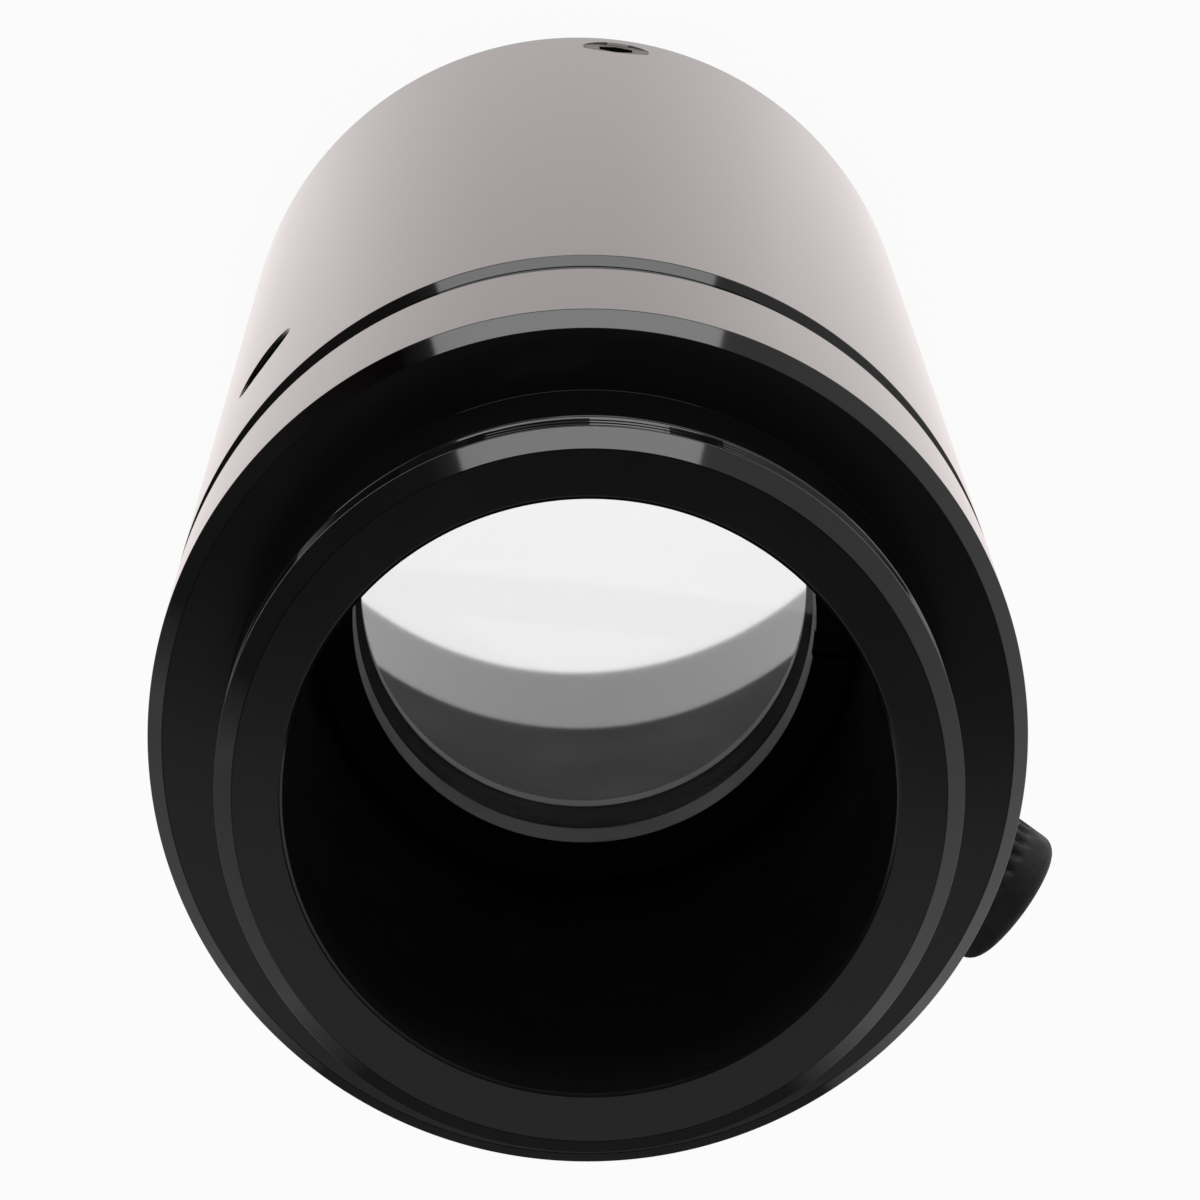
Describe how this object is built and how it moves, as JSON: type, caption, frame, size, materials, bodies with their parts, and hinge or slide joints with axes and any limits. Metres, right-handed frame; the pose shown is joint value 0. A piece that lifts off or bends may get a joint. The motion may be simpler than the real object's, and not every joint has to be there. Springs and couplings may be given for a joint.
{
  "type": "lens mount adapter",
  "caption": "Straight adapter tube with a turnable front mount carrying a male fine-thread spigot and a cemented lens, locked by a thumb screw, with a rear socket.",
  "frame": {"origin": "centre of the flat rear face, on the optical axis", "axes": "+Z along the optical axis to the threaded front spigot, +Y towards the rear set screw that the picture shows at the top, the clamp screw 30 degrees below +X"},
  "size_m": [0.0575, 0.0508, 0.1303],
  "materials": {
    "body_anodised": "black satin anodised, fine turned",
    "mount_anodised": "black satin anodised, turned faces and bevels",
    "cell_anodised": "matte black anodised",
    "crown_glass": "polished and coated",
    "flint_glass": "polished and coated",
    "knob_plastic": "matte moulded black",
    "screw_steel": "black oxide",
    "tip_brass": "machined"
  },
  "bodies": {
    "body": {"body_tube": "body_anodised", "rear_set_screws": "screw_steel"},
    "front_mount": {"front_mount": "mount_anodised", "lens_cell": "cell_anodised", "crown_lens": "crown_glass", "flint_lens": "flint_glass", "retaining_ring": "cell_anodised"},
    "clamp_tip": {"clamp_tip": "tip_brass"},
    "clamp_screw": {"clamp_knob": "knob_plastic", "clamp_stud": "screw_steel"}
  },
  "joints": [
    {"name": "mount_turn", "type": "hinge", "parent": "body", "child": "front_mount", "pos_m": [0, 0, 0.1], "axis": [0, 0, 1], "continuous": true},
    {"name": "clamp_travel", "type": "slide", "parent": "body", "child": "clamp_tip", "axis": [0.866, -0.5, 0], "range_m": [0, 0.002]},
    {"name": "clamp_turn", "type": "hinge", "parent": "clamp_tip", "child": "clamp_screw", "pos_m": [0, 0, 0.0795], "axis": [0.866, -0.5, 0], "range_deg": [0, 720]}
  ],
  "couplings": [
    {"joint": "clamp_turn", "follows": "clamp_travel", "rad_per_m": 6283.2}
  ]
}
